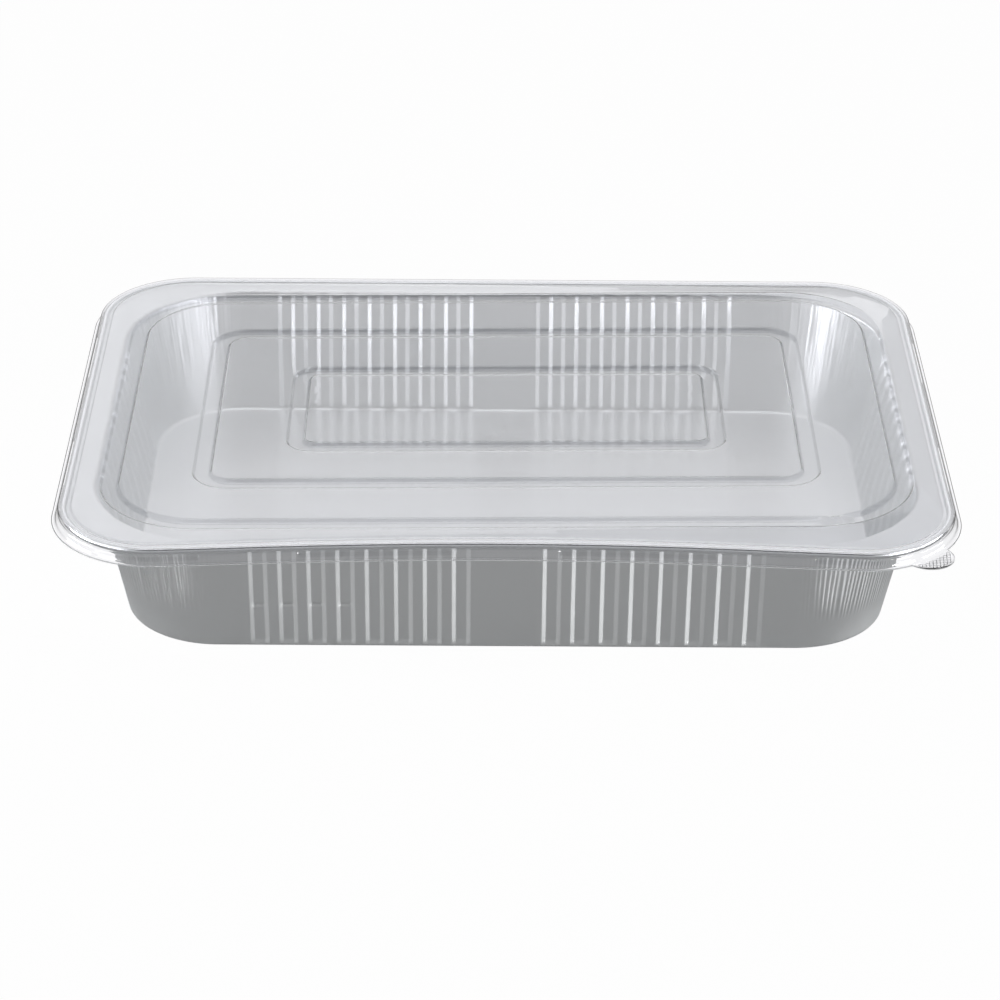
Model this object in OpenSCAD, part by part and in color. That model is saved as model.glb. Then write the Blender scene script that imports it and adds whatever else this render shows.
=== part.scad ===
// Shallow rectangular foil food container with a clear press-on lid.
// The tray is one pressed sheet of foil: floor, fluted walls, flat flange and rolled rim.
// The lid is one formed sheet of clear plastic: grooved panel, rim channel, skirt, lip and pull tab.
// The origin is the middle of the tray's underside. +X runs along the length and +Z is up.

/* [Rim] */
// Length over the rolled rim
rim_l = 332; // [322:1:344]
// Width over the rolled rim
rim_w = 240; // [232:1:250]
// Outside corner radius of the rolled rim
rim_r = 37; // [34:1:40]
// Thickness of the roll
curl_d = 2.6; // [2.4:0.1:3]
// How far the end of the roll tucks in behind its own start
curl_tuck = 0.32; // [0.3:0.01:0.36]

/* [Walls] */
// Height of the flange above the table
tray_h = 50; // [44:1:56]
// Thickness of the foil
foil_t = 0.12; // [0.1:0.01:0.14]
// Width of the flange at the two ends, roll included
flange_end = 11.4; // [10.4:0.2:12.4]
// Width of the flange along the two long sides, roll included
flange_side = 8.8; // [8:0.2:9.6]
// Corner radius of the opening, where the walls meet the flange
open_r = 49; // [46:1:52]
// How far each wall leans out between the base and the flange
wall_run = 11; // [9:0.5:13]
// Corner radius of the base
base_r = 36; // [33:1:39]
// Bend between the floor and the walls
base_bend = 1.8; // [1.6:0.1:2.2]
// Bend between the walls and the flange
top_bend = 2; // [1.5:0.5:3]
// How far the front wall's top is bowed in at its middle
bow_in = 5.2; // [0:0.2:6]
// How far the front rim rises where it is bowed in
bow_up = 0.8; // [0:0.2:1.2]

/* [Flutes] */
// Distance from one flute to the next
flute_pitch = 10.7; // [10:0.1:11.4]
// Width of a flute between the middles of its slanted sides
flute_w = 5.5; // [5:0.1:6]
// Width of one slanted side
flute_slant = 1.8; // [1.4:0.1:2.2]
// How deep a flute is pressed into the wall
flute_depth = 1; // [0.6:0.1:1.4]
// Plain strip between the two groups of flutes on a long side
flute_gap = 28; // [24:1:34]
// Height over which a flute fades in above the base bend
flute_fade = 2; // [1.5:0.5:4]
// Gathers in each rounded corner
pleats = 12; // [8:1:15]
// Depth of a gather at the flange
pleat_depth = 0.4; // [0.2:0.1:0.6]

/* [Lid] */
// Thickness of the clear sheet
film_t = 0.3; // [0.25:0.05:0.4]
// Free space between the lid and the rolled rim
lid_gap = 0.25; // [0.2:0.05:0.4]
// Height of the panel's top above the flange, beside the outer groove
panel_up = 2.9; // [2.6:0.1:4]
// How far the panel sags between its edge and its middle
panel_sag = 1.8; // [0:0.2:2.2]
// Rise of the warped panel towards the right end, in each 100 mm
panel_tilt = 1.2; // [0:0.1:1.3]

/* [Grooves] */
// Distance from the rim's end to the middle of the outer groove
groove_end = 16.8; // [16.4:0.2:19]
// Distance from the rim's long side to the middle of the outer groove
groove_side = 20.2; // [19.8:0.2:22]
// Step from one groove to the next along the length
groove_step_l = 34; // [30:1:38]
// Step from one groove to the next across the width
groove_step_w = 33; // [30:1:36]
// Corner radius of the outer groove
groove_r_outer = 35; // [33:1:38]
// Corner radius of the middle groove
groove_r_middle = 11; // [9:1:13]
// Corner radius of the inner groove
groove_r_inner = 7; // [6:1:9]
// Width of a groove at the panel
groove_w = 7.4; // [6.6:0.2:8]
// Width of one slanted side of a groove
groove_slant = 1.2; // [0.8:0.1:1.6]
// Depth of a groove
groove_d = 1.6; // [1.2:0.1:1.8]

/* [Skirt] */
// How far the lip stands out beyond the rolled rim
lip_out = 3.2; // [2.8:0.1:4]
// Width of the flat lip
lip_w = 1.2; // [0.8:0.1:1.6]
// How far the lip lies below the flange
lip_drop = 3.9; // [3.6:0.1:5]
// Depth of the snap beads pressed into the skirt
snap_depth = 0.6; // [0.3:0.1:0.6]
// Inner end of the two snap beads beside the middle of a long side
snap_from = 19; // [16:1:24]
// Outer end of those snap beads
snap_to = 76; // [66:1:84]
// Half the length of the snap bead on an end
snap_half_end = 28; // [20:1:36]
// Plain skirt between a straight side's end and the corner bead
snap_corner = 17; // [14:1:20]

/* [Tab] */
// Radius of the rounded pull tab
tab_r = 9.4; // [8:0.2:11]
// How far the tab stands out beyond the lip
tab_out = 7.6; // [5:0.2:9]
// Direction of the tab within the front right corner
tab_turn = 41; // [36:1:54]

/* [Hidden] */

// Facets in a quarter turn of the rim, and of the two small grooves
rim_steps = 7;
groove_steps = 4;
// Facets in each bend of the foil, and the angle of one facet of the roll
bend_steps = 2;
curl_step = 36;
// The roll starts above the flange, and after a full turn it ends behind its start
curl_start = 144;
curl_turn = 360;
// Angle already turned where the roll begins to tuck in
curl_tuck_from = 234;
// Spacing of the points that follow the bowed front, and half the bowed length
bow_step = 24;
bow_half = 132;
bow_power = 1.3;
// Half the length along a side that a snap bead takes to rise
snap_ramp = 0.8;
// Least space between a bow point and a bead's end, in mm, and between a facet and the tab, in degrees
bead_clear = 2;
tab_clear = 2;
// Facets in each half of the tab's edge
tab_steps = 4;
// Flat top of the rim channel inside the roll, and the bends at the channel's and the lip's corners
channel_land = 0.8;
channel_bend = 0.55;
lip_bend = 0.3;
// Height below the flange bend at which flutes and gathers are still full
flute_top = 1.6;
// Share of a gather's depth near the base
gather_low = 0.1;
// Share of the sag that the middle groove has
sag_middle = 0.25;
// Labels number the points round a ring: a side spans this many millimetres in each unit
label_span = 1000;

curl_r = curl_d / 2;
lean = atan(wall_run / tray_h);
// An outline is half its length, half its width and its corner radius
rim_mid = [rim_l / 2 - curl_r, rim_w / 2 - curl_r, rim_r - curl_r];
open_line = [rim_l / 2 - flange_end, rim_w / 2 - flange_side, open_r];
base_line = [open_line[0] - wall_run, open_line[1] - wall_run, base_r];

// Outline of the wall at a height, and an outline grown all round
function wall_line(z) = base_line + (open_line - base_line) * z / tray_h;
function grown(line, by) = line + [by, by, by];

// A station is [side, distance along it, angle in its corner, pressed-in share, gathered share].
// The sides run anticlockwise from +X. The angle is -1 on a straight side.
function side_point(k, along, press = 0) = [k, along, -1, press, 0];
function corner_point(k, angle, gather = 0) = [k, 0, angle, 0, gather];
function label(st) =
    st[2] < 0 ? 2 * st[0] + 0.5 + st[1] / label_span : 2 * st[0] + 1 + st[2] / 90;

// Place of a station on an outline, moved in by an inset
function place(st, line, inset) =
    let (
        out = [cos(90 * st[0]), sin(90 * st[0])],
        on = [-sin(90 * st[0]), cos(90 * st[0])],
        here = st[0] % 2 == 0 ? line[0] : line[1],
        next = st[0] % 2 == 0 ? line[1] : line[0],
        turn = 90 * st[0] + st[2]
    )
    st[2] < 0
        ? out * (here - inset) + on * st[1]
        : out * (here - line[2]) + on * (next - line[2])
            + (line[2] - inset) * [cos(turn), sin(turn)];

// Share of the bow at a place on the front: full in the middle and none at the corners
function bow_share(x) = abs(x) < bow_half ? pow(1 - pow(x / bow_half, 2), bow_power) : 0;
function bowed(p, share) =
    p[1] < 0 ? p + share * bow_share(p[0]) * [0, bow_in, bow_up] : p;

// Index of each ring's first point, when the first ring starts at a given index
function starts(rings, first) =
    [for (i = 0, at = first; i < len(rings); at = at + len(rings[i]), i = i + 1) at];

// Triangles between two rings whose points are numbered by rising labels
function label_after(labels, i) =
    labels[(i + 1) % len(labels)] + (i + 1 >= len(labels) ? 8 : 0);
function steps_first(la, lb, s) =
    s[1] >= len(lb) || (s[0] < len(la) && label_after(la, s[0]) < label_after(lb, s[1]));
function strip(la, lb, a0, b0) =
    [for (s = [0, 0]; s[0] + s[1] < len(la) + len(lb);
            s = steps_first(la, lb, s) ? s + [1, 0] : s + [0, 1])
        let (
            a = a0 + s[0] % len(la),
            b = b0 + s[1] % len(lb),
            a_next = a0 + (s[0] + 1) % len(la),
            b_next = b0 + (s[1] + 1) % len(lb)
        )
        steps_first(la, lb, s) ? [a, b, a_next] : [a, b, b_next]];
function fan(middle, labels, first) =
    [for (i = [0 : len(labels) - 1]) [middle, first + i, first + (i + 1) % len(labels)]];
function turned_over(faces) = [for (f = faces) [f[0], f[2], f[1]]];

// A thin sheet: the same rings of points on its underside and its top, from the middle outwards.
// Both faces have the same triangles, so the sheet never crosses itself.
module sheet(under_middle, under, top_middle, top, labels) {
    n = len(labels);
    top_first = 1 + sum([for (ring = under) len(ring)]);
    at_under = starts(under, 1);
    at_top = starts(top, top_first + 1);
    over = concat(
        fan(top_first, labels[0], at_top[0]),
        [for (i = [0 : n - 2]) each strip(labels[i], labels[i + 1], at_top[i], at_top[i + 1])],
        strip(labels[n - 1], labels[n - 1], at_top[n - 1], at_under[n - 1])
    );
    below = concat(
        fan(0, labels[0], at_under[0]),
        [for (i = [0 : n - 2]) each strip(labels[i], labels[i + 1], at_under[i], at_under[i + 1])]
    );
    points = concat(
        [under_middle], [for (ring = under) each ring],
        [top_middle], [for (ring = top) each ring]
    );
    polyhedron(points, concat(below, turned_over(over)), convexity = 10);
}
function sum(list, i = 0) = i < len(list) ? list[i] + sum(list, i + 1) : 0;

// Tray

// How many flutes fit on half a long side and on an end, and where their middles lie
long_count = floor((open_line[0] - open_r - flute_gap / 2) / flute_pitch);
end_count = floor(2 * (open_line[1] - open_r) / flute_pitch);
long_mids = [for (i = [0 : long_count - 1]) flute_gap / 2 + flute_w / 2 + i * flute_pitch];
end_mids = [for (i = [0 : end_count - 1]) (i - (end_count - 1) / 2) * flute_pitch];
function mirrored(mids) =
    concat([for (i = [len(mids) - 1 : -1 : 0]) -mids[i]], mids);

// The four edges of each flute: down one slanted side, across the floor and up the other
function flute_points(k, mids) =
    [for (mid = mids)
        for (e = [[-1, 1, 0], [-1, -1, 1], [1, -1, 1], [1, 1, 0]])
            side_point(k, mid + e[0] * (flute_w + e[1] * flute_slant) / 2, e[2])];
function gather_points(k) =
    [for (i = [0 : 2 * pleats]) corner_point(k, 45 * i / pleats, i % 2)];

fluted = [for (k = [0 : 3])
    each concat(flute_points(k, k % 2 == 0 ? end_mids : mirrored(long_mids)), gather_points(k))];

// Plain stations: rounded corners, and points that follow the bowed front
bow_count = floor((open_line[0] - open_r) / bow_step);
bow_places = [for (i = [-bow_count : bow_count]) i * bow_step];
plain = [for (k = [0 : 3])
    each concat(
        k == 3 ? [for (x = bow_places) side_point(3, x)] : [],
        [for (i = [0 : rim_steps]) corner_point(k, 90 * i / rim_steps)]
    )];

// A row of the tray is [stations, outline, height, flute share, gather share].
// Each bend has its centre and facet angles. The foil is laid off from the underside.
base_mid = [-base_bend * tan((90 - lean) / 2), base_bend];
top_mid_z = tray_h - foil_t - top_bend;
top_touch_z = top_mid_z + top_bend * sin(lean);
top_mid = [top_touch_z * tan(lean) + top_bend * cos(lean) - wall_run, top_mid_z];
base_touch_z = base_bend * (1 - sin(lean));

function base_bend_row(i, t) =
    let (turn = -90 + (90 - lean) * i / bend_steps)
    [plain, grown(base_line, base_mid[0] + (base_bend - t) * cos(turn)),
        base_mid[1] + (base_bend - t) * sin(turn), 0, 0];
function wall_row(z, flute, gather, t) =
    [fluted, grown(wall_line(z), -t * cos(lean)), z + t * sin(lean), flute, gather];
function top_bend_row(i, t) =
    let (turn = 180 - lean - (90 - lean) * i / bend_steps)
    [plain, grown(open_line, top_mid[0] + (top_bend + t) * cos(turn)),
        top_mid[1] + (top_bend + t) * sin(turn), 0, 0];

// The roll is a spiral: round from its start, then tucked in over its last part
curl_facets = curl_turn / curl_step;
function curl_radius(turned) =
    curl_r - curl_tuck * max(0, turned - curl_tuck_from) / (curl_turn - curl_tuck_from);
function curl_row(i, t) =
    let (r = curl_radius(i * curl_step) - t, turn = curl_start - i * curl_step)
    [plain, grown(rim_mid, r * cos(turn)), tray_h + r * sin(turn), 0, 0];
crease = curl_r + foil_t;

// Rows from the floor to the end of the roll, for the underside (t = 0) or the top (t = foil_t)
function tray_rows(t) = concat(
    [for (i = [0 : bend_steps - 1]) base_bend_row(i, t)],
    [wall_row(base_touch_z, 0, 0, t),
        wall_row(base_touch_z + flute_fade, 1, gather_low, t),
        wall_row(top_touch_z - flute_top, 1, 1, t),
        wall_row(top_touch_z, 0, 0, t)],
    [for (i = [1 : bend_steps]) top_bend_row(i, t)],
    [[plain, grown(rim_mid, foil_t - t - crease), tray_h - foil_t + t, 0, 0]],
    [for (i = [0 : curl_facets]) curl_row(i, foil_t - t)]
);

function tray_ring(row) =
    [for (st = row[0])
        let (xy = place(st, row[1], st[3] * flute_depth * row[3] + st[4] * pleat_depth * row[4]))
        bowed([xy[0], xy[1], row[2]], min(1, row[2] / tray_h))];

function labels_of(rows) = [for (row = rows) [for (st = row[0]) label(st)]];

module tray() {
    under = tray_rows(0);
    color([0.76, 0.77, 0.78])
        sheet(
            [0, 0, 0],
            [for (row = under) tray_ring(row)],
            [0, 0, foil_t],
            [for (row = tray_rows(foil_t)) tray_ring(row)],
            labels_of(under)
        );
}

// Lid

// Outlines of the groove middles, from the outer one to the inner one
groove_radii = [groove_r_outer, groove_r_middle, groove_r_inner];
groove_lines = [for (i = [0 : 2])
    [rim_l / 2 - groove_end - i * groove_step_l,
        rim_w / 2 - groove_side - i * groove_step_w,
        groove_radii[i]]];
sags = [0, sag_middle * panel_sag, panel_sag];

// Stations of a groove's rings. The outer groove shares the tray's plain ones.
small_groove = [for (k = [0 : 3]) for (i = [0 : groove_steps]) corner_point(k, 90 * i / groove_steps)];
groove_sets = [plain, small_groove, small_groove];

// Outlines of the skirt from the channel's top corner to the lip's edge
lip_line = grown(rim_mid, curl_r + lip_out);
skirt_in = curl_r + lid_gap + film_t;
lip_z = tray_h - lip_drop;
channel_z = tray_h + curl_r + lid_gap / 2 + film_t;
snap_z = tray_h - curl_r;
snap_line_out = skirt_in + snap_depth;

// Snap beads along a side: each end is a pair of points, one below and one on the bead
long_straight = lip_line[0] - lip_line[2];
end_straight = lip_line[1] - lip_line[2];
function snap_end(k, at, way) =
    let (low = side_point(k, at - way * snap_ramp, 0), high = side_point(k, at + way * snap_ramp, 1))
    way > 0 ? [low, high] : [high, low];
function bow_between(low, high, press) =
    [for (x = bow_places) if (x > low + bead_clear && x < high - bead_clear) side_point(3, x, press)];
function long_snaps(k) =
    let (edge = long_straight - snap_corner)
    concat(
        k == 3 ? bow_between(-long_straight, -edge, 1) : [],
        snap_end(k, -edge, -1),
        k == 3 ? bow_between(-edge, -snap_to, 0) : [],
        snap_end(k, -snap_to, 1),
        k == 3 ? bow_between(-snap_to, -snap_from, 1) : [],
        snap_end(k, -snap_from, -1),
        k == 3 ? bow_between(-snap_from, snap_from, 0) : [],
        snap_end(k, snap_from, 1),
        k == 3 ? bow_between(snap_from, snap_to, 1) : [],
        snap_end(k, snap_to, -1),
        k == 3 ? bow_between(snap_to, edge, 0) : [],
        snap_end(k, edge, 1),
        k == 3 ? bow_between(edge, long_straight, 1) : []
    );
function end_snaps(k) =
    let (edge = end_straight - snap_corner)
    concat(
        snap_end(k, -edge, -1),
        snap_end(k, -snap_half_end, 1),
        snap_end(k, snap_half_end, -1),
        snap_end(k, edge, 1)
    );

// The tab is a disc whose middle lies on a ray from the corner's own middle
tab_mid = lip_line[2] + tab_out - tab_r;
tab_span = acos((pow(lip_line[2], 2) + pow(tab_mid, 2) - pow(tab_r, 2)) / (2 * lip_line[2] * tab_mid));
function tab_edge(turn) =
    abs(turn) >= tab_span ? lip_line[2]
        : tab_mid * cos(turn) + sqrt(pow(tab_r, 2) - pow(tab_mid * sin(turn), 2));
tab_points = [for (i = [-tab_steps : tab_steps]) tab_turn + tab_span * i / tab_steps];
function corner_angles(k) =
    let (even = [for (i = [0 : rim_steps]) 90 * i / rim_steps])
    k < 3 ? even
        : concat(
            [for (a = even) if (a < tab_turn - tab_span - tab_clear) a],
            tab_points,
            [for (a = even) if (a > tab_turn + tab_span + tab_clear) a]
        );
function pressed(st) = [st[0], st[1], st[2], 1, st[4]];
skirt_points = [for (k = [0 : 3])
    each concat(
        k % 2 == 0 ? end_snaps(k) : long_snaps(k),
        [for (a = corner_angles(k)) pressed(corner_point(k, a))]
    )];

// A row of the lid is [stations, outline, height, bow share, tilt share, snap share, tab share]
function groove_rows(i, t) =
    let (top = tray_h + panel_up - sags[i] - t, half = groove_w / 2, foot = half - groove_slant)
    [for (e = [[-half, 0], [-foot, 1], [foot, 1], [half, 0]])
        [groove_sets[i], grown(groove_lines[i], e[0] + sign(e[0]) * t / 2),
            top - e[1] * groove_d, 0, 1, 0, 0]];
function skirt_row(out, z, snap = 0, tab = 0) =
    [skirt_points, grown(rim_mid, out), z, 1, 0, snap, tab];
// The lid's own top is t = 0 and its underside is t = film_t, from the middle outwards
function lid_rows(t) = concat(
    groove_rows(2, t),
    groove_rows(1, t),
    groove_rows(0, t),
    [skirt_row(-curl_r - channel_land, channel_z - t),
        skirt_row(skirt_in - channel_bend - t / 2, channel_z - t),
        skirt_row(skirt_in - t, channel_z - channel_bend - t / 2),
        skirt_row(snap_line_out - snap_depth / 2 - t, tray_h),
        skirt_row(snap_line_out - t, snap_z, 1),
        skirt_row(curl_r + lip_out - lip_w - lip_bend - t, (snap_z + lip_z) / 2),
        skirt_row(curl_r + lip_out - lip_w - t / 2, lip_z - t),
        skirt_row(curl_r + lip_out, lip_z - t, 0, 1)]
);

function lid_inset(st, row) =
    st[3] * row[5] * snap_depth
        - (row[6] > 0 && st[0] == 3 && st[2] >= 0 ? tab_edge(st[2] - tab_turn) - lip_line[2] : 0);
function lid_ring(row) =
    [for (st = row[0])
        let (xy = place(st, row[1], lid_inset(st, row)))
        bowed([xy[0], xy[1], row[2] + row[4] * panel_tilt * xy[0] / 100], row[3])];

module lid() {
    rows = lid_rows(0);
    middle_z = tray_h + panel_up - panel_sag;
    color([0.86, 0.9, 0.92, 0.4])
        sheet(
            [0, 0, middle_z - film_t],
            [for (row = lid_rows(film_t)) lid_ring(row)],
            [0, 0, middle_z],
            [for (row = rows) lid_ring(row)],
            labels_of(rows)
        );
}

tray();
lid();
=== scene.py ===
# %% [markdown]
# # A foil food container with a clear lid
# The tray is one sheet of aluminium foil, pressed between two dies that form the floor, the fluted walls
# and the flange, before the edge is rolled. The lid is one sheet of clear plastic, drawn over a mould while
# it is soft. Both are thin sheets, so both are made here in the same steps: lay a plain sheet of rings,
# press its pattern with Geometry Nodes, give it its thickness, and then its finish.

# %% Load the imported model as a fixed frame
import math
from collections import namedtuple

import bpy
import numpy as np
from mathutils import Matrix, Vector
from mathutils.geometry import delaunay_2d_cdt


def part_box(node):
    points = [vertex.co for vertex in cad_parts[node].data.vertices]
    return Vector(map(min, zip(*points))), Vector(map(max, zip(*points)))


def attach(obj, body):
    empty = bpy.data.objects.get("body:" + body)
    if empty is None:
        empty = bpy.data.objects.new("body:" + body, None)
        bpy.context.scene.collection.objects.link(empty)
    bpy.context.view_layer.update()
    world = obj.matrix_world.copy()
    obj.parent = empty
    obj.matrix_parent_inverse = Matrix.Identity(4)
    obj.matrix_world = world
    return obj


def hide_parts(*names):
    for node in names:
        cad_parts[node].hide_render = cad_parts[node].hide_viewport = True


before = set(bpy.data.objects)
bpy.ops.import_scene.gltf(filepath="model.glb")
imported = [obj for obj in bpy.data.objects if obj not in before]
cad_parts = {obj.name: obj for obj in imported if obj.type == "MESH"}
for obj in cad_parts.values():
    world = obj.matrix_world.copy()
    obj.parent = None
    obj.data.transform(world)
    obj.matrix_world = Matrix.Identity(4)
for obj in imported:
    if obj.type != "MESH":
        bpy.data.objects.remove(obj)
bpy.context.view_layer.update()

MM = 0.001
tray_high, lid_high = (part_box(body)[1] / MM for body in ("tray", "lid"))
rim_half = (tray_high.x, tray_high.y)
print("rim half length and width, mm:", [round(v, 2) for v in rim_half])
print("lid half length, mm:", round(lid_high.x, 2))

# %% [markdown]
# ## The camera
# The photograph was taken with a long lens from a little above the table. The lens, the distance and the
# angles below were fitted to the container's own outline, so what is modelled at its real size falls on the
# same place in the picture. The small shift is where the lens was centred.

# %% Camera at the photograph's angle
SENSOR_WIDTH = 36.0
FOCAL_SHARE = 3.5738
AZIMUTH, ELEVATION, ROLL = (math.radians(v) for v in (-0.48, 27.63, 0.59))
DISTANCE = 1.4206
TARGET = Vector((0.0, 0.0, 0.0098))
LENS_SHIFT = -0.00505


def placed(name, data):
    """A new object at the origin for a camera, a lamp or a mesh, linked into the scene."""
    made = bpy.data.objects.new(name, data)
    bpy.context.scene.collection.objects.link(made)
    return made


camera_data = bpy.data.cameras.new("camera")
camera_data.sensor_width = SENSOR_WIDTH
camera_data.lens = SENSOR_WIDTH * FOCAL_SHARE
camera_data.shift_x = LENS_SHIFT
camera_data.clip_start, camera_data.clip_end = 0.05, 20.0
camera = placed("camera", camera_data)
bpy.context.scene.camera = camera

back = Vector((
    math.sin(AZIMUTH) * math.cos(ELEVATION),
    -math.cos(AZIMUTH) * math.cos(ELEVATION),
    math.sin(ELEVATION),
))
level = Vector((math.cos(AZIMUTH), math.sin(AZIMUTH), 0.0))
upright = back.cross(level)
right = level * math.cos(ROLL) + upright * math.sin(ROLL)
up = upright * math.cos(ROLL) - level * math.sin(ROLL)
turned = Matrix((right, up, back)).transposed().to_4x4()
camera.matrix_world = Matrix.Translation(TARGET + back * DISTANCE) @ turned
print("camera at", [round(v, 3) for v in camera.matrix_world.translation], "lens", round(camera_data.lens, 1))

# %% [markdown]
# ## One helper for every node
# Shaders and Geometry Nodes trees are both graphs of nodes. This helper adds one node, sets its options, and
# fills each input with a value, with an output of an earlier node, or with that node's first output. Two
# short ones beside it turn a hex colour into a linear one, and start a material with an empty tree.

# %% Helper that adds a node
def add(tree, kind, inputs=None, **options):
    node = tree.nodes.new(kind)
    for name, value in options.items():
        setattr(node, name, value)
    for key, value in (inputs or {}).items():
        if isinstance(value, bpy.types.Node):
            value = value.outputs[0]
        if isinstance(value, bpy.types.NodeSocket):
            tree.links.new(value, node.inputs[key])
        else:
            node.inputs[key].default_value = value
    return node


def hex_colour(code):
    """An sRGB colour written as hex, as the linear colour that a shader reads."""
    shares = [int(code[i:i + 2], 16) / 255 for i in (0, 2, 4)]
    return [v / 12.92 if v <= 0.04045 else ((v + 0.055) / 1.055) ** 2.4 for v in shares] + [1.0]


def new_material(name):
    """A material and its tree, which is still empty."""
    material = bpy.data.materials.new(name)
    material.use_nodes = True
    material.node_tree.nodes.clear()
    return material, material.node_tree


print("pale grey E6E6E6 is linear", round(hex_colour("E6E6E6")[0], 3))

# %% [markdown]
# ## Outlines and columns
# Every ring of the tray and of the lid is a rounded rectangle: a smaller core rectangle grown by a radius.
# A column of the sheet is then a place on the core and a direction outwards, and it crosses all rings.
# Columns lie close together where the foil is creased, and far apart where it is plain.

# %% Helpers for outlines and columns
Column = namedtuple("Column", "core facing shift along corner", defaults=(0.0, -1.0))


def outline(half_length, half_width, radius):
    return np.array([half_length, half_width, radius], float)


def side_axes(side):
    """The way out of a side and the way along it, anticlockwise. Side 0 is the right end."""
    turn = math.radians(90 * side)
    return np.array([math.cos(turn), math.sin(turn)]), np.array([-math.sin(turn), math.cos(turn)])


def straight_column(side, share, along, shift=0.0):
    """A column on a straight side: its share of the core's side, and a shift that rings keep in common."""
    out, on = side_axes(side)
    return Column(out + on * share, out, on * shift, along)


def corner_column(side, degrees):
    """A column in the corner at the end of a side, turned on from the side's own direction."""
    out, on = side_axes(side)
    turn = math.radians(degrees)
    return Column(out + on, out * math.cos(turn) + on * math.sin(turn), np.zeros(2), 0.0, degrees)


def column_between(a, b, share):
    """A column part of the way from one column to the next one."""
    core = a.core + (b.core - a.core) * share
    shift = a.shift + (b.shift - a.shift) * share
    facing = a.facing + (b.facing - a.facing) * share
    return Column(core, facing, shift, 0.0, max(a.corner, b.corner))


def places(columns, line):
    """Where the columns cross an outline."""
    core = np.array([c.core for c in columns]) * (line[:2] - line[2])
    facing = np.array([c.facing for c in columns])
    return core + facing * line[2] + np.array([c.shift for c in columns])


print("a corner column:", np.round(corner_column(0, 45).facing, 3))

# %% [markdown]
# ## Sizes of the tray
# The rim's size comes from the frame. The rest are the container's own sizes, in millimetres.

# %% Sizes of the tray
FLANGE_Z = 50.0
FOIL = 0.12
ROLL_RADIUS = 1.3
ROLL_TUCK = 0.32
RIM_CORNER = 37.0
FLANGE_END, FLANGE_SIDE = 11.4, 8.8
OPENING_CORNER, BASE_CORNER = 49.0, 36.0
WALL_RUN = 11.0
BASE_BEND, TOP_BEND = 1.8, 2.0
BOW_IN, BOW_UP, BOW_HALF, BOW_POWER = 5.2, 0.8, 133.5, 1.3

roll_line = outline(rim_half[0] - ROLL_RADIUS, rim_half[1] - ROLL_RADIUS, RIM_CORNER - ROLL_RADIUS)
open_line = outline(rim_half[0] - FLANGE_END, rim_half[1] - FLANGE_SIDE, OPENING_CORNER)
base_line = outline(open_line[0] - WALL_RUN, open_line[1] - WALL_RUN, BASE_CORNER)
lean = math.atan(WALL_RUN / FLANGE_Z)
print("wall leans", round(math.degrees(lean), 1), "degrees; base half size", base_line[:2])

# %% [markdown]
# ## The flutes and the gathers
# Flutes stiffen the long straight walls, in two groups on a side and one group on an end. Each flute is a
# shallow channel pressed inwards, with a slanted flank on each side. Two columns close to each edge of a
# flank give the edge its small round. In the corners the foil has to shrink, so it gathers in fine creases.

# %% Columns of the tray
FLUTE_PITCH, FLUTE_WIDTH, FLUTE_SLANT, FLUTE_DEPTH = 10.7, 5.5, 1.8, 1.0
FLUTE_GAP = 28.0
EDGE_ROUND = 0.3
CORNER_COLUMNS = 112
JOINING_COLUMNS = 4
PLAIN_STEP, PLAIN_APART = 4.0, 3.0
NO_FLUTE = 100.0

PLAIN_END = 3.0
straights = (open_line[1] - open_line[2] - PLAIN_END, open_line[0] - open_line[2] - PLAIN_END)
long_count = int((straights[1] - FLUTE_GAP / 2) / FLUTE_PITCH)
end_count = int(2 * (straights[0] + PLAIN_END) / FLUTE_PITCH)
long_middles = [FLUTE_GAP / 2 + FLUTE_WIDTH / 2 + i * FLUTE_PITCH for i in range(long_count)]
flute_middles = (
    [(i - (end_count - 1) / 2) * FLUTE_PITCH for i in range(end_count)],
    sorted([-m for m in long_middles] + long_middles),
)
flank_inner, flank_outer = (FLUTE_WIDTH - FLUTE_SLANT) / 2, (FLUTE_WIDTH + FLUTE_SLANT) / 2
flute_edges = [side * (edge + step) for side in (-1, 1) for edge in (flank_inner, flank_outer)
               for step in (-EDGE_ROUND, EDGE_ROUND)]


def tray_side(side):
    """The columns of one side and of the corner after it."""
    middles = flute_middles[side % 2]
    half = straights[side % 2]
    alongs = [m + e for m in middles for e in flute_edges]
    plain = np.linspace(-half, half, int(half / PLAIN_STEP) * 2 + 1)
    alongs += [a for a in plain
               if min(abs(a - other) for other in alongs) > PLAIN_APART or abs(a) > half - 0.1]
    columns = [straight_column(side, 0.0, a, a) for a in sorted(alongs)]
    corner = [corner_column(side, 90 * i / CORNER_COLUMNS) for i in range(CORNER_COLUMNS + 1)]
    next_side = (side + 1) % 4
    first_next = straight_column(next_side, 0.0, -straights[next_side % 2], -straights[next_side % 2])
    shares = [i / JOINING_COLUMNS for i in range(1, JOINING_COLUMNS)]
    leaving = [column_between(columns[-1], corner[0], s) for s in shares]
    arriving = [column_between(corner[-1], first_next, s) for s in shares]
    return columns + leaving + corner + arriving


tray_columns = [column for side in range(4) for column in tray_side(side)]
print(len(tray_columns), "columns;", 2 * len(long_middles), "flutes on a long side,", end_count, "on an end")

# %% [markdown]
# ## Rings of the tray
# The rings run from the edge of the floor up the wall, over the flange and round the roll. Each ring knows
# how much of the pattern it takes: the flutes fade out just above the floor, and reach a little into the
# bend at the flange, which leaves that edge scalloped. The gathers are deepest at the flange. The rings of
# the roll also say how far the edge is curled, which the foil's gloss follows.

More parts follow.
